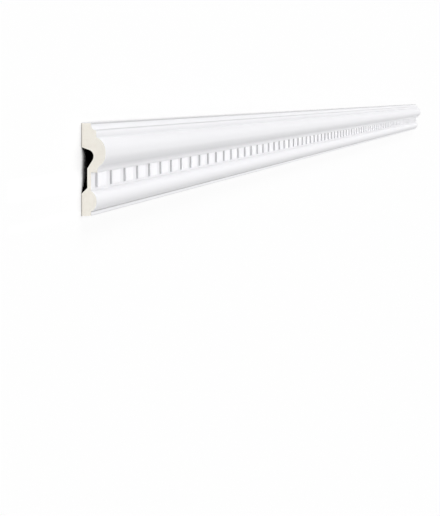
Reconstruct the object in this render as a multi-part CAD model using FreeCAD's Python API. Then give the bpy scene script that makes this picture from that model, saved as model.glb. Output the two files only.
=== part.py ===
import FreeCAD
import Part

import math
import os

# Panel moulding with a dentil course, cast in one piece in rigid polyurethane foam.
# It lies on its back. X runs along the length, Y up the face, Z out from the back. Millimetres.
# The section is drawn in the Y-Z plane, with Y = 0 halfway up the back.

# Overall size
LENGTH = 2000.0
HEIGHT = 95.0

# Face, from the top edge down
GROUND_DEPTH = 12.4  # back plane to the flat ground of the face
LIP_HEIGHT = 1.8
COVE_RADIUS = 5.0
LEDGE_DEPTH = 1.4  # foot of the cove to the face of the square fillet
LEDGE_ROUND = 1.2  # round edge of that fillet
FILLET_HEIGHT = 7.3
TORUS_DEPTH = 30.2  # back plane to the nose of the torus
TORUS_RADIUS = 14.5  # round from the square fillet to the nose
NOSE_HEIGHT = 2.5  # straight run of the nose
OGEE_ROUND = 13.6  # round upper half of the ogee under the nose
OGEE_HOLLOW = 6.8  # hollow lower half
DRIP_DEPTH = 20.1  # back plane to the edge that overhangs the dentils
DRIP_HEIGHT = 1.2

# Face, from the bottom edge up
FOOT_HEIGHT = 5.6
FOOT_DRAFT = 1.3  # rise of the underside from the back to the face
OVOLO_HEIGHT = 20.9
OVOLO_PROJECTION = 6.8  # out from the ground

# Dentil course, hung under the drip
DENTIL_WIDTH = 15.0
DENTIL_GAP = 10.0
DENTIL_HEIGHT = 15.6
DENTIL_PROJECTION = 2.8  # out from the ground
FIRST_DENTIL = 7.5  # left end to the first dentil

# Hollow along the back
UPPER_LAND = 24.5  # flat strip of the back above the hollow
LOWER_LAND = 22.7  # flat strip of the back below the hollow
CHANNEL_DEPTH = 7.7
CHANNEL_SLOPE = 6.5  # height of the slope from the lower land to the channel
POCKET_DEPTH = 15.4  # deepest place of the hollow, behind the torus
POCKET_RADIUS = 6.5
POCKET_SET = 9.0  # top of the hollow to its deepest place
POCKET_RUN = 12.5  # deepest place to where the pocket runs out into the channel

# Soft edges left by the casting mould
ARRIS_RADIUS = 0.6

# How far a dentil is sunk into the body, so that the two join as one solid
SINK = 1.0

TOP = HEIGHT / 2
BOTTOM = -HEIGHT / 2


def at(y, z):
    """A point of the section."""
    return FreeCAD.Vector(0, y, z)


def round_point(centre, radius, angle):
    """A point of a circle in the section. Angle 0 faces out along Z, and a right angle faces up along Y."""
    return at(centre.y + radius * math.sin(angle), centre.z + radius * math.cos(angle))


def arc(centre, radius, start, end):
    """An arc of the section between two angles."""
    points = [round_point(centre, radius, angle) for angle in (start, (start + end) / 2, end)]
    return Part.Arc(*points).toShape()


def line(start, end):
    """A straight run of the section."""
    return Part.LineSegment(start, end).toShape()


def touch_angle(point, centre, radius, side):
    """The angle on a circle where a straight run from a point touches it, on the side +1 or -1."""
    reach = point - centre
    return math.atan2(reach.y, reach.z) + side * math.acos(radius / reach.Length)


def long_edges(solid, corners):
    """The edges along the length of an extruded section that stand on the given corners."""
    near = 0.01
    found = []
    for edge in solid.Edges:
        middle = edge.CenterOfMass
        place = at(middle.y, middle.z)
        if edge.Length > LENGTH / 2 and any(place.distanceToPoint(corner) < near for corner in corners):
            found.append(edge)
    return found


# Corners of the face, from the top edge down
fillet_depth = GROUND_DEPTH + COVE_RADIUS + LEDGE_DEPTH
top_back = at(TOP, 0)
top_front = at(TOP, GROUND_DEPTH)
cove_start = at(TOP - LIP_HEIGHT, GROUND_DEPTH)
cove_centre = at(cove_start.y, GROUND_DEPTH + COVE_RADIUS)
cove_end = at(cove_start.y - COVE_RADIUS, GROUND_DEPTH + COVE_RADIUS)
fillet_top = at(cove_end.y, fillet_depth)
fillet_foot = at(cove_end.y - FILLET_HEIGHT, fillet_depth)

# Torus: its upper round starts on the square fillet and turns to the nose
torus_centre_depth = TORUS_DEPTH - TORUS_RADIUS
torus_start_angle = math.acos((fillet_depth - torus_centre_depth) / TORUS_RADIUS)
torus_centre = at(fillet_foot.y - TORUS_RADIUS * math.sin(torus_start_angle), torus_centre_depth)
nose_top = at(torus_centre.y, TORUS_DEPTH)
nose_foot = at(nose_top.y - NOSE_HEIGHT, TORUS_DEPTH)

# Ogee: a round and a hollow that turn by the same angle, upright where they meet the nose and the drip
ogee_turn = math.acos(1 - (TORUS_DEPTH - DRIP_DEPTH) / (OGEE_ROUND + OGEE_HOLLOW))
ogee_round_centre = at(nose_foot.y, TORUS_DEPTH - OGEE_ROUND)
drip_top = at(nose_foot.y - (OGEE_ROUND + OGEE_HOLLOW) * math.sin(ogee_turn), DRIP_DEPTH)
ogee_hollow_centre = at(drip_top.y, DRIP_DEPTH + OGEE_HOLLOW)
drip_foot = at(drip_top.y - DRIP_HEIGHT, DRIP_DEPTH)
soffit_back = at(drip_foot.y, GROUND_DEPTH)

# Ovolo and foot
foot_top = at(BOTTOM + FOOT_HEIGHT, GROUND_DEPTH)
ovolo_top = at(foot_top.y + OVOLO_HEIGHT, GROUND_DEPTH)
ovolo_nose = at(foot_top.y + OVOLO_HEIGHT / 2, GROUND_DEPTH + OVOLO_PROJECTION)
bottom_front = at(BOTTOM + FOOT_DRAFT, GROUND_DEPTH)
bottom_back = at(BOTTOM, 0)

# Hollow of the back, from the lower land up
hollow_foot = at(BOTTOM + LOWER_LAND, 0)
channel_foot = at(hollow_foot.y + CHANNEL_SLOPE, CHANNEL_DEPTH)
hollow_top = at(TOP - UPPER_LAND, 0)
pocket_centre = at(hollow_top.y - POCKET_SET, POCKET_DEPTH - POCKET_RADIUS)
pocket_foot = at(pocket_centre.y - POCKET_RUN, CHANNEL_DEPTH)
pocket_low = touch_angle(pocket_foot, pocket_centre, POCKET_RADIUS, 1)
pocket_high = touch_angle(hollow_top, pocket_centre, POCKET_RADIUS, -1)

section = Part.Wire([
    line(top_back, top_front),
    line(top_front, cove_start),
    arc(cove_centre, COVE_RADIUS, math.pi, 1.5 * math.pi),
    line(cove_end, fillet_top),
    line(fillet_top, fillet_foot),
    arc(torus_centre, TORUS_RADIUS, torus_start_angle, 0),
    line(nose_top, nose_foot),
    arc(ogee_round_centre, OGEE_ROUND, 0, -ogee_turn),
    arc(ogee_hollow_centre, OGEE_HOLLOW, math.pi - ogee_turn, math.pi),
    line(drip_top, drip_foot),
    line(drip_foot, soffit_back),
    line(soffit_back, ovolo_top),
    Part.Arc(ovolo_top, ovolo_nose, foot_top).toShape(),
    line(foot_top, bottom_front),
    line(bottom_front, bottom_back),
    line(bottom_back, hollow_foot),
    line(hollow_foot, channel_foot),
    line(channel_foot, pocket_foot),
    line(pocket_foot, round_point(pocket_centre, POCKET_RADIUS, pocket_low)),
    arc(pocket_centre, POCKET_RADIUS, pocket_low, pocket_high),
    line(round_point(pocket_centre, POCKET_RADIUS, pocket_high), hollow_top),
    line(hollow_top, top_back),
])

body = Part.Face(section).extrude(FreeCAD.Vector(LENGTH, 0, 0))
body.translate(FreeCAD.Vector(-LENGTH / 2, 0, 0))
body = body.makeFillet(LEDGE_ROUND, long_edges(body, [fillet_top]))
body = body.makeFillet(ARRIS_RADIUS, long_edges(body, [top_front, drip_foot, bottom_front]))

# One dentil with its soft front edges, at the left end of the row
dentil = Part.makeBox(
    DENTIL_WIDTH,
    DENTIL_HEIGHT + SINK,
    DENTIL_PROJECTION + SINK,
    FreeCAD.Vector(FIRST_DENTIL - LENGTH / 2, soffit_back.y - DENTIL_HEIGHT, GROUND_DEPTH - SINK),
)
front = GROUND_DEPTH + DENTIL_PROJECTION
front_edges = [
    edge
    for edge in dentil.Edges
    if edge.BoundBox.ZMin > front - SINK / 2 and edge.BoundBox.YMin < soffit_back.y
]
dentil = dentil.makeFillet(ARRIS_RADIUS, front_edges)

pitch = DENTIL_WIDTH + DENTIL_GAP
count = int((LENGTH - FIRST_DENTIL + DENTIL_GAP) // pitch)
dentils = [dentil.translated(FreeCAD.Vector(number * pitch, 0, 0)) for number in range(count)]
panel_moulding = body.fuse(dentils).removeSplitter()

os.makedirs("parts", exist_ok=True)
panel_moulding.exportStep("parts/panel_moulding.step")
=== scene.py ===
import math

import bmesh
import bpy
from mathutils import Matrix, Vector


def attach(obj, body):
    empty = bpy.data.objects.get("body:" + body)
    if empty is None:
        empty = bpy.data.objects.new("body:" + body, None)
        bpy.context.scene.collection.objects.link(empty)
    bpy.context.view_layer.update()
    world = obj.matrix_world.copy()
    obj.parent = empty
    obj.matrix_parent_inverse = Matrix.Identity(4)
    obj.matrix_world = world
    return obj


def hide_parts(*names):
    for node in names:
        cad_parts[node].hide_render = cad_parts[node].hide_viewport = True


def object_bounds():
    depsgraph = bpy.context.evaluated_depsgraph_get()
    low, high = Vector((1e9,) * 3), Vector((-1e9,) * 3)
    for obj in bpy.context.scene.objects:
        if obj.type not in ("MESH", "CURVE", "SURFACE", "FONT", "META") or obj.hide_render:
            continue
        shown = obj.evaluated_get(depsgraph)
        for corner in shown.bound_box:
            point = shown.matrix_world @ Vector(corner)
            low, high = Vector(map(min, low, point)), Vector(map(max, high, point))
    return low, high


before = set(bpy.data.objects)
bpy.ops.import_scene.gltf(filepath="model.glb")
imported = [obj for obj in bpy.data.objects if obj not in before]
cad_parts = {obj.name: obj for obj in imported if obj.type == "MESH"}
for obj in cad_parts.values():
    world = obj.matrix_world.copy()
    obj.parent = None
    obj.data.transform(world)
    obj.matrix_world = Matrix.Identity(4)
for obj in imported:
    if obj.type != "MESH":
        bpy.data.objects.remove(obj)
cad_low, cad_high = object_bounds()

# Sizes in metres. X runs along the moulding, Y up its face, Z out from its back.
MM = 0.001
LEFT = cad_low.x
RIGHT = cad_high.x
TOP = cad_high.y
BOTTOM = cad_low.y
NOSE_DEPTH = cad_high.z

# Face, from the top edge down
GROUND_DEPTH = 12.4 * MM
LIP_HEIGHT = 1.8 * MM
COVE_RADIUS = 5.0 * MM
LEDGE_DEPTH = 1.4 * MM
LEDGE_ROUND = 1.2 * MM
FILLET_HEIGHT = 7.3 * MM
TORUS_RADIUS = 14.5 * MM
NOSE_HEIGHT = 2.5 * MM
OGEE_ROUND = 13.6 * MM
OGEE_HOLLOW = 6.8 * MM
DRIP_DEPTH = 20.1 * MM
DRIP_HEIGHT = 1.2 * MM

# Face, from the bottom edge up
FOOT_HEIGHT = 5.6 * MM
FOOT_DRAFT = 1.3 * MM
OVOLO_HEIGHT = 20.9 * MM
OVOLO_PROJECTION = 6.8 * MM

# Dentil course
DENTIL_WIDTH = 15.0 * MM
DENTIL_GAP = 10.0 * MM
DENTIL_HEIGHT = 15.6 * MM
DENTIL_PROJECTION = 2.8 * MM
FIRST_DENTIL = 7.5 * MM

# Hollow along the back
UPPER_LAND = 24.5 * MM
LOWER_LAND = 22.7 * MM
CHANNEL_DEPTH = 7.7 * MM
CHANNEL_SLOPE = 6.5 * MM
POCKET_DEPTH = 15.4 * MM
POCKET_RADIUS = 6.5 * MM
POCKET_SET = 9.0 * MM
POCKET_RUN = 12.5 * MM

# Finish of the edges and of the sawn ends
ARRIS_RADIUS = 0.6 * MM
SKIN = 0.5 * MM  # dense rim that shows round a sawn end
FACET = 1.1 * MM  # length of the straight bits that make up a round
FEWEST_FACETS = 3  # of a round
CORNER_FACETS = 4  # of a soft corner of the section
DENTIL_FACETS = 3  # of a soft edge of a dentil
SMOOTH_ANGLE = math.radians(32)  # edges that turn by more than this stay sharp
WELD = 0.01 * MM  # points nearer than this are one point

# Relief, holes and marks of the finishes
REFLECTION = 0.3  # of all of them, with Blender's own default at 0.5
PRIMER_RELIEF = 0.02 * MM
SKIN_RELIEF = 0.08 * MM
PINHOLE_PITCH = 7 * MM
PINHOLE_WIDTH = 0.7 * MM
# painted shade inside the pinholes of the skin
PINHOLE_SHADE_COLOUR = (0.45, 0.40, 0.32, 1)
FOAM_RELIEF = 0.08 * MM
CELL_PITCH = 0.6 * MM
CELL_WIDTH = 0.4 * MM
# painted shade in the open cells of the sawn foam
CELL_SHADE_COLOUR = (0.62, 0.57, 0.48, 1)
CELL_SHADE_SHARE = 0.25  # how much of that colour an open cell shows
SAW_MARK = 1.6 * MM  # from one mark of the saw to the next
SAW_MARK_SHARE = 0.5  # height of a mark as a share of a cell's depth
WAVE_PERIOD = math.pi / 10  # of Blender's wave texture at a scale of 1

# Painted shade in the creases and along the edges of the face, where real shade falls:
# how far it reaches from them, and how dark it lies there
PAINTED_SHADE_COLOUR = (0.46, 0.46, 0.47, 1)
TOP_PAINTED_SHADE = (13 * MM, 0.25)
LIP_PAINTED_SHADE = (1.8 * MM, 0.95)
COVE_PAINTED_SHADE = (2.4 * MM, 0.64)
FILLET_PAINTED_SHADE = (5 * MM, 0.16)
DRIP_PAINTED_SHADE = (2.5 * MM, 0.25)
DENTIL_PAINTED_SHADE = (2.5 * MM, 0.38)
GAP_PAINTED_SHADE = (2.2 * MM, 0.22)
FOOT_PAINTED_SHADE = (1.6 * MM, 1.0)
FOOT_EDGE_PAINTED_SHADE = (1.5 * MM, 0.35)

# Places on the face that follow from these sizes, from the top down
COVE_FOOT = TOP - LIP_HEIGHT - COVE_RADIUS
FILLET_DEPTH = GROUND_DEPTH + COVE_RADIUS + LEDGE_DEPTH
FILLET_FOOT = COVE_FOOT - FILLET_HEIGHT
TORUS_TURN = math.acos((FILLET_DEPTH - NOSE_DEPTH) / TORUS_RADIUS + 1)
NOSE_TOP = FILLET_FOOT - TORUS_RADIUS * math.sin(TORUS_TURN)
OGEE_TURN = math.acos(1 - (NOSE_DEPTH - DRIP_DEPTH) / (OGEE_ROUND + OGEE_HOLLOW))
DRIP_TOP = NOSE_TOP - NOSE_HEIGHT - (OGEE_ROUND + OGEE_HOLLOW) * math.sin(OGEE_TURN)
SOFFIT = DRIP_TOP - DRIP_HEIGHT  # underside of the drip
DENTIL_FOOT = SOFFIT - DENTIL_HEIGHT
DENTIL_FRONT = GROUND_DEPTH + DENTIL_PROJECTION
DENTIL_START = LEFT + FIRST_DENTIL
DENTIL_PITCH = DENTIL_WIDTH + DENTIL_GAP
FOOT_TOP = BOTTOM + FOOT_HEIGHT
OVOLO_TOP = FOOT_TOP + OVOLO_HEIGHT


def pick(piece, kind, wanted):
    """In edit mode, select only the points, edges or faces whose middle passes a test."""
    bpy.ops.mesh.select_mode(type=kind)
    bpy.ops.mesh.select_all(action="DESELECT")
    mesh = bmesh.from_edit_mesh(piece.data)
    if kind == "VERT":
        for point in mesh.verts:
            point.select_set(wanted(point.co))
    if kind == "EDGE":
        for edge in mesh.edges:
            edge.select_set(wanted((edge.verts[0].co + edge.verts[1].co) / 2))
    if kind == "FACE":
        for face in mesh.faces:
            face.select_set(wanted(face.calc_center_median()))
    mesh.select_flush_mode()
    bmesh.update_edit_mesh(piece.data)


def same(a, b):
    """Whether two lengths agree."""
    return abs(a - b) < WELD


class Pen:
    """Draws the outline of the section at the left end, from one point to the next."""

    def __init__(self, piece, y, z):
        self.piece = piece
        self.place = Vector((LEFT, y, z))
        bpy.ops.mesh.select_all(action="SELECT")
        bpy.ops.mesh.merge(type="CENTER")
        bpy.ops.transform.translate(value=self.place)

    def run(self, y, z):
        """Draw a straight run to a point."""
        goal = Vector((LEFT, y, z))
        bpy.ops.mesh.extrude_region_move(TRANSFORM_OT_translate={"value": goal - self.place})
        self.place = goal

    def turn(self, y, z, angle):
        """Draw a round about a centre. A positive angle turns from Y towards Z."""
        centre = Vector((LEFT, y, z))
        radius = (self.place - centre).length
        steps = max(FEWEST_FACETS, math.ceil(radius * abs(angle) / FACET))
        bpy.ops.mesh.spin(steps=steps, angle=angle, center=centre, axis=(-1, 0, 0))
        self.place = centre + Matrix.Rotation(angle, 3, "X") @ (self.place - centre)


def touch_turn(point, centre, radius):
    """Angle at a circle's centre between the way to a point and the place where a run from it touches."""
    return math.acos(radius / (point - centre).length)


def heading(centre, point):
    """Angle of a point round a centre, from Y towards Z."""
    return math.atan2(point.z - centre.z, point.y - centre.y)


def draw_section(piece):
    """The outline of the sawn end, from the top back corner round the face and back through the hollow."""
    pen = Pen(piece, TOP, 0)

    # Lip, cove and square fillet
    pen.run(TOP, GROUND_DEPTH)
    pen.run(TOP - LIP_HEIGHT, GROUND_DEPTH)
    pen.turn(pen.place.y, GROUND_DEPTH + COVE_RADIUS, -math.pi / 2)
    pen.run(COVE_FOOT, FILLET_DEPTH)
    pen.run(FILLET_FOOT, FILLET_DEPTH)

    # Torus, nose and ogee
    pen.turn(NOSE_TOP, NOSE_DEPTH - TORUS_RADIUS, TORUS_TURN)
    pen.run(NOSE_TOP - NOSE_HEIGHT, NOSE_DEPTH)
    pen.turn(pen.place.y, NOSE_DEPTH - OGEE_ROUND, OGEE_TURN)
    pen.turn(DRIP_TOP, DRIP_DEPTH + OGEE_HOLLOW, -OGEE_TURN)

    # Drip, with a point on its underside and one on the ground where a dentil ends
    pen.run(SOFFIT, DRIP_DEPTH)
    pen.run(SOFFIT, DENTIL_FRONT)
    pen.run(SOFFIT, GROUND_DEPTH)
    pen.run(DENTIL_FOOT, GROUND_DEPTH)

    # Ovolo and foot
    ovolo_half = OVOLO_HEIGHT / 2
    ovolo_radius = (ovolo_half**2 + OVOLO_PROJECTION**2) / (2 * OVOLO_PROJECTION)
    pen.run(OVOLO_TOP, GROUND_DEPTH)
    pen.turn(
        pen.place.y - ovolo_half,
        GROUND_DEPTH + OVOLO_PROJECTION - ovolo_radius,
        2 * math.asin(ovolo_half / ovolo_radius),
    )
    pen.run(BOTTOM + FOOT_DRAFT, GROUND_DEPTH)
    pen.run(BOTTOM, 0)

    # Lower land, channel and pocket of the hollow, upper land
    hollow_top = Vector((LEFT, TOP - UPPER_LAND, 0))
    pocket = Vector((LEFT, hollow_top.y - POCKET_SET, POCKET_DEPTH - POCKET_RADIUS))
    pocket_foot = Vector((LEFT, pocket.y - POCKET_RUN, CHANNEL_DEPTH))
    pen.run(BOTTOM + LOWER_LAND, 0)
    pen.run(pen.place.y + CHANNEL_SLOPE, CHANNEL_DEPTH)
    pen.run(pocket_foot.y, pocket_foot.z)
    low = heading(pocket, pocket_foot) - touch_turn(pocket_foot, pocket, POCKET_RADIUS)
    high = heading(pocket, hollow_top) + touch_turn(hollow_top, pocket, POCKET_RADIUS)
    low = low % (2 * math.pi)
    pen.run(pocket.y + POCKET_RADIUS * math.cos(low), pocket.z + POCKET_RADIUS * math.sin(low))
    pen.turn(pocket.y, pocket.z, high - low)
    pen.run(hollow_top.y, 0)
    pen.run(TOP, 0)
    bpy.ops.mesh.select_all(action="SELECT")
    bpy.ops.mesh.remove_doubles(threshold=WELD)


def soften_corners(piece, corners, radius):
    """Round the outline at square corners."""
    pick(piece, "VERT", lambda co: any(same(co.y, y) and same(co.z, z) for y, z in corners))
    bpy.ops.mesh.bevel(offset=radius, segments=CORNER_FACETS, affect="VERTICES")


def raise_dentil(piece):
    """Push one dentil out of the ground, close under the drip, and soften its front edges."""
    start = DENTIL_START
    end = start + DENTIL_WIDTH

    def on_ground(co):
        return start < co.x < end and DENTIL_FOOT < co.y < SOFFIT and same(co.z, GROUND_DEPTH)

    def on_soffit(co):
        return start < co.x < end and same(co.y, SOFFIT) and GROUND_DEPTH < co.z < DENTIL_FRONT

    def on_front_edge(co):
        upright = (same(co.x, start) or same(co.x, end)) and DENTIL_FOOT < co.y < SOFFIT
        across = start < co.x < end and same(co.y, DENTIL_FOOT)
        return same(co.z, DENTIL_FRONT) and (upright or across)

    pick(piece, "FACE", on_ground)
    bpy.ops.mesh.extrude_region_move(TRANSFORM_OT_translate={"value": (0, 0, DENTIL_PROJECTION)})
    pick(piece, "FACE", on_soffit)
    bpy.ops.mesh.delete(type="FACE")
    bpy.ops.mesh.select_all(action="SELECT")
    bpy.ops.mesh.remove_doubles(threshold=WELD)
    pick(piece, "EDGE", on_front_edge)
    bpy.ops.mesh.bevel(offset=ARRIS_RADIUS, segments=DENTIL_FACETS, affect="EDGES")


def paint(piece, finish):
    """Give the selected faces one of the piece's finishes."""
    piece.active_material_index = piece.data.materials.find(finish)
    bpy.ops.object.material_slot_assign()


def close_end(piece, x):
    """Close one sawn end, with the dense skin as a rim round the foam."""
    pick(piece, "EDGE", lambda co: same(co.x, x))
    bpy.ops.mesh.edge_face_add()
    paint(piece, "cast_skin")
    bpy.ops.mesh.inset(thickness=SKIN, use_even_offset=True)
    paint(piece, "sawn_foam")


def uncoat_back(piece):
    """Leave the flat strips of the back and the hollow between them without primer."""
    bpy.ops.mesh.select_mode(type="FACE")
    bpy.ops.mesh.select_all(action="DESELECT")
    mesh = bmesh.from_edit_mesh(piece.data)
    for face in mesh.faces:
        middle = face.calc_center_median()
        in_hollow = BOTTOM + LOWER_LAND < middle.y < TOP - UPPER_LAND and middle.z < POCKET_DEPTH
        face.select_set(face.normal.z < 0 and (same(middle.z, 0) or in_hollow))
    bmesh.update_edit_mesh(piece.data)
    paint(piece, "cast_skin")


def add_node(tree, kind, place, **settings):
    """A shader node, with its settings and the values of its inputs by name."""
    node = tree.nodes.new(kind)
    node.location = place
    for name, value in settings.items():
        if hasattr(node, name):
            setattr(node, name, value)
        else:
            node.inputs[name.replace("_", " ").title()].default_value = value
    return node


def make_grain():
    """Shared unevenness of a cast or sprayed surface: a slow drift of tone and a fine grain of height."""
    group = bpy.data.node_groups.new("grain", "ShaderNodeTree")
    socket = group.interface.new_socket
    socket("Drift", in_out="INPUT", socket_type="NodeSocketFloat")
    socket("Size", in_out="INPUT", socket_type="NodeSocketFloat")
    socket("Tone", in_out="OUTPUT", socket_type="NodeSocketFloat")
    socket("Height", in_out="OUTPUT", socket_type="NodeSocketFloat")
    ways_in = add_node(group, "NodeGroupInput", (-800, 0))
    ways_out = add_node(group, "NodeGroupOutput", (400, 0))
    where = add_node(group, "ShaderNodeTexCoord", (-600, 300))
    for way_in, way_out, height in (("Drift", "Tone", 150), ("Size", "Height", -150)):
        per_metre = add_node(group, "ShaderNodeMath", (-400, height), operation="DIVIDE")
        per_metre.inputs[0].default_value = 1.0
        group.links.new(ways_in.outputs[way_in], per_metre.inputs[1])
        noise = add_node(group, "ShaderNodeTexNoise", (-100, height), detail=3.0)
        group.links.new(where.outputs["Object"], noise.inputs["Vector"])
        group.links.new(per_metre.outputs[0], noise.inputs["Scale"])
        group.links.new(noise.outputs["Fac"], ways_out.inputs[way_out])
    return group


GRAIN = make_grain()


def start_finish(name, drift, size, dull, bright, smooth, rough):
    """A finish that drifts between two states. Gives its material, its grain and its colour."""
    finish = bpy.data.materials.new(name)
    finish.use_nodes = True
    tree = finish.node_tree
    shader = tree.nodes["Principled BSDF"]
    shader.inputs["Specular IOR Level"].default_value = REFLECTION
    grain = add_node(tree, "ShaderNodeGroup", (-1500, 0), node_tree=GRAIN)
    grain.inputs["Drift"].default_value = drift
    grain.inputs["Size"].default_value = size
    colour = add_node(tree, "ShaderNodeMix", (-1200, 200), data_type="RGBA")
    colour.inputs["A"].default_value = dull
    colour.inputs["B"].default_value = bright
    sheen = add_node(tree, "ShaderNodeMapRange", (-300, 0), to_min=smooth, to_max=rough)
    tree.links.new(grain.outputs["Tone"], colour.inputs["Factor"])
    tree.links.new(grain.outputs["Tone"], sheen.inputs["Value"])
    tree.links.new(sheen.outputs["Result"], shader.inputs["Roughness"])
    return finish, grain, colour.outputs["Result"]


def end_finish(finish, colour, height, relief):
    """Send a finish's colour and its height, with the relief that it has, to the shader."""
    tree = finish.node_tree
    shader = tree.nodes["Principled BSDF"]
    bump = add_node(tree, "ShaderNodeBump", (-300, -300), strength=1.0, distance=relief)
    tree.links.new(height, bump.inputs["Height"])
    tree.links.new(colour, shader.inputs["Base Color"])
    tree.links.new(bump.outputs["Normal"], shader.inputs["Normal"])
    return finish


def reckon(tree, place, operation, *values):
    """A sum of values, each of which is a number or comes from another node."""
    node = add_node(tree, "ShaderNodeMath", place, operation=operation)
    for socket, value in zip(node.inputs, values):
        if isinstance(value, bpy.types.NodeSocket):
            tree.links.new(value, socket)
        else:
            socket.default_value = value
    return node.outputs[0]


def tint(tree, place, colour, other, share):
    """Another colour laid over a colour by a share that changes over the surface."""
    mix = add_node(tree, "ShaderNodeMix", place, data_type="RGBA")
    mix.inputs["B"].default_value = other
    tree.links.new(share, mix.inputs["Factor"])
    tree.links.new(colour, mix.inputs["A"])
    return mix.outputs["Result"]


def add_painted_shade(tree, level, place, crease, reach, darkness):
    """Painted shade by the distance of a place, three values, from a crease: darkest in it, none past its
    reach.
    """
    spot = add_node(tree, "ShaderNodeCombineXYZ", (-2100, level))
    for socket, value in zip(spot.inputs, place):
        if isinstance(value, bpy.types.NodeSocket):
            tree.links.new(value, socket)
    away = add_node(tree, "ShaderNodeVectorMath", (-1900, level), operation="DISTANCE")
    tree.links.new(spot.outputs["Vector"], away.inputs[0])
    away.inputs[1].default_value = crease
    painted_shade = add_node(tree, "ShaderNodeMapRange", (-1700, level), interpolation_type="SMOOTHSTEP")
    painted_shade.inputs["From Max"].default_value = reach
    painted_shade.inputs["To Min"].default_value = darkness
    painted_shade.inputs["To Max"].default_value = 0
    tree.links.new(away.outputs["Value"], painted_shade.inputs["Value"])
    return painted_shade.outputs["Result"]


def crease_painted_shade(tree):
    """Where shade is painted: along the edges and creases of the face and round the foot of each dentil."""
    where = add_node(tree, "ShaderNodeTexCoord", (-2900, 600))
    parts = add_node(tree, "ShaderNodeSeparateXYZ", (-2700, 600))
    tree.links.new(where.outputs["Object"], parts.inputs["Vector"])
    x, y, z = parts.outputs
    half_width = DENTIL_WIDTH / 2
    half_height = DENTIL_HEIGHT / 2
    in_pitch = reckon(tree, (-2700, 400), "WRAP", x, LEFT + DENTIL_PITCH, LEFT)
    aside = reckon(tree, (-2500, 400), "SUBTRACT", in_pitch, DENTIL_START + half_width)
    aside = reckon(tree, (-2300, 400), "ABSOLUTE", aside)
    past_dentil = reckon(tree, (-2500, 0), "SUBTRACT", y, DENTIL_FOOT + half_height)
    past_dentil = reckon(tree, (-2300, 0), "ABSOLUTE", past_dentil)
    past_dentil = reckon(tree, (-2500, -200), "SUBTRACT", past_dentil, half_height)
    past_dentil = reckon(tree, (-2300, -200), "MAXIMUM", past_dentil, 0)
    lines = [
        add_painted_shade(tree, 1200, (0, y, z), (0, TOP, 0), *TOP_PAINTED_SHADE),
        add_painted_shade(tree, 900, (0, y, z), (0, TOP, GROUND_DEPTH), *LIP_PAINTED_SHADE),
        add_painted_shade(tree, 800, (0, y, z), (0, COVE_FOOT, GROUND_DEPTH + COVE_RADIUS), *COVE_PAINTED_SHADE),
        add_painted_shade(tree, 700, (0, y, z), (0, FILLET_FOOT, FILLET_DEPTH), *FILLET_PAINTED_SHADE),
        add_painted_shade(tree, 650, (0, y, z), (0, SOFFIT, DRIP_DEPTH), *DRIP_PAINTED_SHADE),
        add_painted_shade(tree, 600, (0, y, z), (0, SOFFIT, GROUND_DEPTH), *DENTIL_PAINTED_SHADE),
        add_painted_shade(tree, 400, (aside, past_dentil, z), (half_width, 0, GROUND_DEPTH), *DENTIL_PAINTED_SHADE),
        add_painted_shade(tree, 0, (0, past_dentil, z), (0, 0, GROUND_DEPTH), *GAP_PAINTED_SHADE),
        add_painted_shade(tree, -400, (0, y, z), (0, FOOT_TOP, GROUND_DEPTH), *FOOT_PAINTED_SHADE),
        add_painted_shade(tree, -600, (0, y, z), (0, BOTTOM + FOOT_DRAFT, GROUND_DEPTH), *FOOT_EDGE_PAINTED_SHADE),
    ]
    most = lines[0]
    for line in lines[1:]:
        most = reckon(tree, (-1500, 600), "MAXIMUM", most, line)
    return most


def white_primer():
    """Matt white primer, sprayed, with a faint orange peel and painted shade in its creases."""
    finish, grain, colour = start_finish(
        "white_primer",
        drift=60 * MM,
        size=1.2 * MM,
        dull=(0.875, 0.873, 0.893, 1),
        bright=(0.900, 0.898, 0.916, 1),
        smooth=0.52,
        rough=0.66,
    )
    tree = finish.node_tree
    # painted shade laid over the primer along its creases and edges
    colour = tint(tree, (-900, 200), colour, PAINTED_SHADE_COLOUR, crease_painted_shade(tree))
    return end_finish(finish, colour, grain.outputs["Height"], PRIMER_RELIEF)


def add_cells(tree, place, size, width):
    """Small round holes: how far each point lies in one, for holes of a width, a size apart."""
    where = add_node(tree, "ShaderNodeTexCoord", (place[0] - 200, place[1]))
    cells = add_node(tree, "ShaderNodeTexVoronoi", place, scale=1 / size)
    tree.links.new(where.outputs["Object"], cells.inputs["Vector"])
    hole = add_node(tree, "ShaderNodeMapRange", (place[0] + 200, place[1]), interpolation_type="SMOOTHSTEP")
    hole.inputs["From Max"].default_value = width / 2 / size
    hole.inputs["To Min"].default_value = 1
    hole.inputs["To Max"].default_value = 0
    tree.links.new(cells.outputs["Distance"], hole.inputs["Value"])
    return hole.outputs["Result"]


def cast_skin():
    """The dense cream skin that the foam gets against the mould, with a pinhole here and there, each with
    painted shade in it.
    """
    finish, grain, colour = start_finish(
        "cast_skin",
        drift=25 * MM,
        size=3 * MM,
        dull=(0.86, 0.83, 0.75, 1),
        bright=(0.90, 0.88, 0.82, 1),
        smooth=0.42,
        rough=0.6,
    )
    tree = finish.node_tree
    pinhole = add_cells(tree, (-1500, -300), PINHOLE_PITCH, PINHOLE_WIDTH)
    # painted shade in each pinhole
    colour = tint(tree, (-900, 200), colour, PINHOLE_SHADE_COLOUR, pinhole)
    height = reckon(tree, (-900, -200), "SUBTRACT", grain.outputs["Height"], pinhole)
    return end_finish(finish, colour, height, SKIN_RELIEF)


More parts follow.
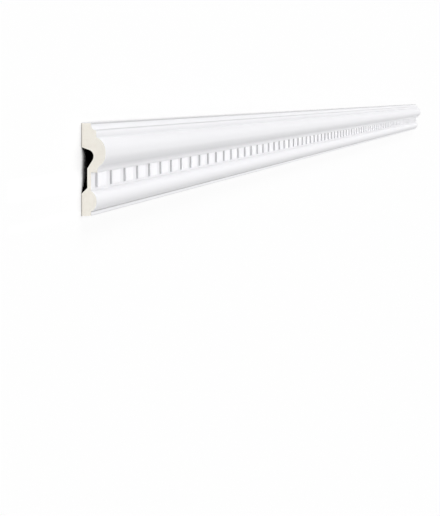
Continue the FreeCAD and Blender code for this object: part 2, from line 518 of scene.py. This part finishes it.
def sawn_foam():
    """Cream foam with its fine cells cut open by the saw, painted shade in the open cells, and the saw's
    faint marks.
    """
    finish, grain, colour = start_finish(
        "sawn_foam",
        drift=6 * MM,
        size=0.5 * MM,
        dull=(0.87, 0.83, 0.75, 1),
        bright=(0.95, 0.92, 0.85, 1),
        smooth=0.85,
        rough=0.95,
    )
    tree = finish.node_tree
    cell = add_cells(tree, (-1500, -300), CELL_PITCH, CELL_WIDTH)
    where = add_node(tree, "ShaderNodeTexCoord", (-1700, -600))
    marks = add_node(
        tree,
        "ShaderNodeTexWave",
        (-1500, -600),
        bands_direction="Y",
        distortion=2.0,
        detail=2.0,
    )
    marks.inputs["Scale"].default_value = WAVE_PERIOD / SAW_MARK
    tree.links.new(where.outputs["Object"], marks.inputs["Vector"])
    faint = reckon(tree, (-1200, -600), "MULTIPLY", marks.outputs["Fac"], SAW_MARK_SHARE)
    cell_shade = reckon(tree, (-1200, -450), "MULTIPLY", cell, CELL_SHADE_SHARE)
    # painted shade in the open cells
    colour = tint(tree, (-900, 200), colour, CELL_SHADE_COLOUR, cell_shade)
    height = reckon(tree, (-900, -200), "SUBTRACT", grain.outputs["Height"], cell)
    height = reckon(tree, (-700, -200), "ADD", height, faint)
    return end_finish(finish, colour, height, FOAM_RELIEF)


def make_moulding():
    """The whole length: one dentil's stretch of it, repeated and closed at both ends."""
    bpy.ops.object.select_all(action="DESELECT")
    bpy.ops.mesh.primitive_plane_add(size=SKIN)
    piece = bpy.context.object
    piece.name = "moulding"
    bpy.ops.object.mode_set(mode="EDIT")
    draw_section(piece)
    soften_corners(piece, [(COVE_FOOT, FILLET_DEPTH)], LEDGE_ROUND)
    square_corners = [(TOP, GROUND_DEPTH), (SOFFIT, DRIP_DEPTH), (BOTTOM + FOOT_DRAFT, GROUND_DEPTH)]
    soften_corners(piece, square_corners, ARRIS_RADIUS)

    bpy.ops.mesh.select_all(action="SELECT")
    for stretch in (FIRST_DENTIL, DENTIL_WIDTH, DENTIL_GAP - FIRST_DENTIL):
        bpy.ops.mesh.extrude_region_move(TRANSFORM_OT_translate={"value": (stretch, 0, 0)})
    raise_dentil(piece)
    bpy.ops.object.mode_set(mode="OBJECT")

    row = piece.modifiers.new("row", "ARRAY")
    row.use_relative_offset = False
    row.use_constant_offset = True
    row.constant_offset_displace = (DENTIL_PITCH, 0, 0)
    row.count = round((RIGHT - LEFT) / DENTIL_PITCH)
    row.use_merge_vertices = True
    row.merge_threshold = WELD
    bpy.ops.object.modifier_apply(modifier=row.name)

    bpy.ops.object.mode_set(mode="EDIT")
    for finish in (white_primer(), cast_skin(), sawn_foam()):
        piece.data.materials.append(finish)
    close_end(piece, LEFT)
    close_end(piece, RIGHT)
    bpy.ops.mesh.select_all(action="SELECT")
    bpy.ops.mesh.remove_doubles(threshold=WELD)
    bpy.ops.mesh.normals_make_consistent(inside=False)
    uncoat_back(piece)
    bpy.ops.object.mode_set(mode="OBJECT")
    bpy.ops.object.shade_smooth_by_angle(angle=SMOOTH_ANGLE)
    return piece


moulding = make_moulding()
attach(moulding, "root")
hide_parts("panel_moulding")

# Camera, fitted to the lines of the photo. The moulding's height runs up the picture.
PICTURE_WIDTH = 440
PICTURE_HEIGHT = 516
FOCAL_PIXELS = 642.7
HORIZON_PIXELS = 97.6  # down from the top of the picture
LOOK_DOWN = math.radians(25.97)
CAMERA_PLACE = Vector((-1.52695, 0.0734, 0.4140))
NEAREST_SEEN = 10 * MM

camera_data = bpy.data.cameras.new("camera")
camera = bpy.data.objects.new("camera", camera_data)
bpy.context.collection.objects.link(camera)
camera_data.lens = camera_data.sensor_width * FOCAL_PIXELS / PICTURE_HEIGHT
camera_data.shift_y = (HORIZON_PIXELS - PICTURE_HEIGHT / 2) / PICTURE_HEIGHT
camera_data.clip_start = NEAREST_SEEN
across = Vector((math.sin(LOOK_DOWN), 0, math.cos(LOOK_DOWN)))
up = Vector((0, 1, 0))
camera_turn = Matrix((across, up, across.cross(up))).transposed()
camera.matrix_world = Matrix.Translation(CAMERA_PLACE) @ camera_turn.to_4x4()
bpy.context.scene.camera = camera

# Floor
FLOOR_WIDTH = 16.0
FLOOR_BOUNCE = 0.55  # how much light the floor sends back to the moulding
FLOOR_GLOW = 0.8  # share of the floor's white that no shadow takes away
# Shade on the floor: how far off it counts what stands there,
# how open the floor is where it is dark, and how open where it is white
HOLLOW_SHADE = (30 * MM, 0.35, 0.53)

# Light
WHITE = (1, 1, 1, 1)
SKY_LIGHT = 0.39
# Lamps, far away: brightness on a white surface that faces them, and where they come from
LAMP_SPREAD = math.radians(20)
FRONT_LIGHT = (0.41, Vector((0.30, 0.25, 1.0)))
TOP_LIGHT = (0.27, Vector((0.0, 2.0, 1.0)))
LOW_LIGHT = (0.10, Vector((0.0, -1.0, 1.0)))
# Panel that lies on the floor before the sawn end
END_LIGHT = 0.95
END_PANEL_LENGTH = 0.3
END_PANEL_WIDTH = 0.6
END_PANEL_HEIGHT = 1 * MM
# Strip over the dentil course, with a narrow beam
DENTIL_LIGHT = 0.21
STRIP_LENGTH = 2.2
STRIP_WIDTH = 17 * MM
STRIP_HEIGHT = 90 * MM
STRIP_SPREAD = math.radians(5)
# Narrower strip over the foot, as long and as high
FOOT_LIGHT = 0.13
FOOT_STRIP_WIDTH = 4 * MM


def add_sun(name, strength, source):
    """A soft light from far away."""
    lamp = bpy.data.lights.new(name, "SUN")
    lamp.energy = strength * math.pi
    lamp.angle = LAMP_SPREAD
    sun = bpy.data.objects.new(name, lamp)
    bpy.context.collection.objects.link(sun)
    sun.rotation_euler = source.to_track_quat("Z", "Y").to_euler()


def add_panel(name, strength, place, length, width, turn, spread):
    """A flat lamp that isn't seen itself. It faces down before it is turned about the length."""
    lamp = bpy.data.lights.new(name, "AREA")
    lamp.shape = "RECTANGLE"
    lamp.size = length
    lamp.size_y = width
    lamp.spread = spread
    lamp.energy = strength * math.pi * length * width
    panel = bpy.data.objects.new(name, lamp)
    bpy.context.collection.objects.link(panel)
    panel.location = place
    panel.rotation_euler = (turn, 0, 0)
    panel.visible_camera = False


def seen_directly(tree, place):
    """1 for what the eye sees, itself or in a mirror or through glass, and 0 for light on its way."""
    path = add_node(tree, "ShaderNodeLightPath", place)
    seen = path.outputs["Is Camera Ray"]
    for number, ray in enumerate(("Is Glossy Ray", "Is Transmission Ray")):
        seen = reckon(tree, (place[0] + 200 + 200 * number, place[1]), "MAXIMUM", seen, path.outputs[ray])
    return seen


def light_room():
    """Even light from all round, and a white backdrop."""
    room = bpy.data.worlds.new("room")
    bpy.context.scene.world = room
    room.use_nodes = True
    tree = room.node_tree
    light = tree.nodes["Background"]
    light.inputs["Color"].default_value = WHITE
    light.inputs["Strength"].default_value = SKY_LIGHT
    backdrop = add_node(tree, "ShaderNodeBackground", (0, -150), strength=1.0)
    backdrop.inputs["Color"].default_value = WHITE
    choice = add_node(tree, "ShaderNodeMixShader", (200, 0))
    tree.links.new(seen_directly(tree, (-500, 300)), choice.inputs["Fac"])
    tree.links.new(light.outputs[0], choice.inputs[1])
    tree.links.new(backdrop.outputs[0], choice.inputs[2])
    tree.links.new(choice.outputs[0], tree.nodes["World Output"].inputs["Surface"])


def add_shade(tree, place, reach, dark, white):
    """How white the floor stays beside or under the moulding, by how much of its sky is within reach."""
    openness = add_node(tree, "ShaderNodeAmbientOcclusion", place, distance=reach)
    shade = add_node(tree, "ShaderNodeMapRange", (place[0] + 200, place[1]), from_min=dark, from_max=white)
    tree.links.new(openness.outputs["AO"], shade.inputs["Value"])
    return shade.outputs["Result"]


def paint_floor():
    """White to look at, greyer to the light it sends back, and dark where it is shut in."""
    finish = bpy.data.materials.new("floor_paint")
    finish.use_nodes = True
    tree = finish.node_tree
    tree.nodes.remove(tree.nodes["Principled BSDF"])
    shade = add_shade(tree, (-800, 0), *HOLLOW_SHADE)
    white = add_node(tree, "ShaderNodeBsdfDiffuse", (-300, 100))
    glow = add_node(tree, "ShaderNodeEmission", (-300, -50))
    to_eye = add_node(tree, "ShaderNodeMixShader", (0, 0))
    to_eye.inputs["Fac"].default_value = FLOOR_GLOW
    to_moulding = add_node(tree, "ShaderNodeBsdfDiffuse", (0, -200))
    to_moulding.inputs["Color"].default_value = (FLOOR_BOUNCE, FLOOR_BOUNCE, FLOOR_BOUNCE, 1)
    choice = add_node(tree, "ShaderNodeMixShader", (300, 0))
    tree.links.new(shade, white.inputs["Color"])
    tree.links.new(shade, glow.inputs["Color"])
    tree.links.new(white.outputs[0], to_eye.inputs[1])
    tree.links.new(glow.outputs[0], to_eye.inputs[2])
    tree.links.new(seen_directly(tree, (-400, 350)), choice.inputs["Fac"])
    tree.links.new(to_moulding.outputs[0], choice.inputs[1])
    tree.links.new(to_eye.outputs[0], choice.inputs[2])
    tree.links.new(choice.outputs[0], tree.nodes["Material Output"].inputs["Surface"])
    return finish


bpy.ops.mesh.primitive_plane_add(size=FLOOR_WIDTH)
floor = bpy.context.object
floor.name = "floor"
floor.data.materials.append(paint_floor())

add_sun("front_light", *FRONT_LIGHT)
add_sun("top_light", *TOP_LIGHT)
add_sun("low_light", *LOW_LIGHT)
end_place = (LEFT - END_PANEL_LENGTH / 2, 0, END_PANEL_HEIGHT)
add_panel("end_panel", END_LIGHT, end_place, END_PANEL_LENGTH, END_PANEL_WIDTH, math.pi, math.pi)
strip_place = (0, (SOFFIT + DENTIL_FOOT) / 2, STRIP_HEIGHT)
add_panel("dentil_strip", DENTIL_LIGHT, strip_place, STRIP_LENGTH, STRIP_WIDTH, 0, STRIP_SPREAD)
foot_place = (0, FOOT_TOP - FOOT_STRIP_WIDTH / 2, STRIP_HEIGHT)
add_panel("foot_strip", FOOT_LIGHT, foot_place, STRIP_LENGTH, FOOT_STRIP_WIDTH, 0, STRIP_SPREAD)
light_room()
bpy.context.scene.view_settings.view_transform = "Standard"
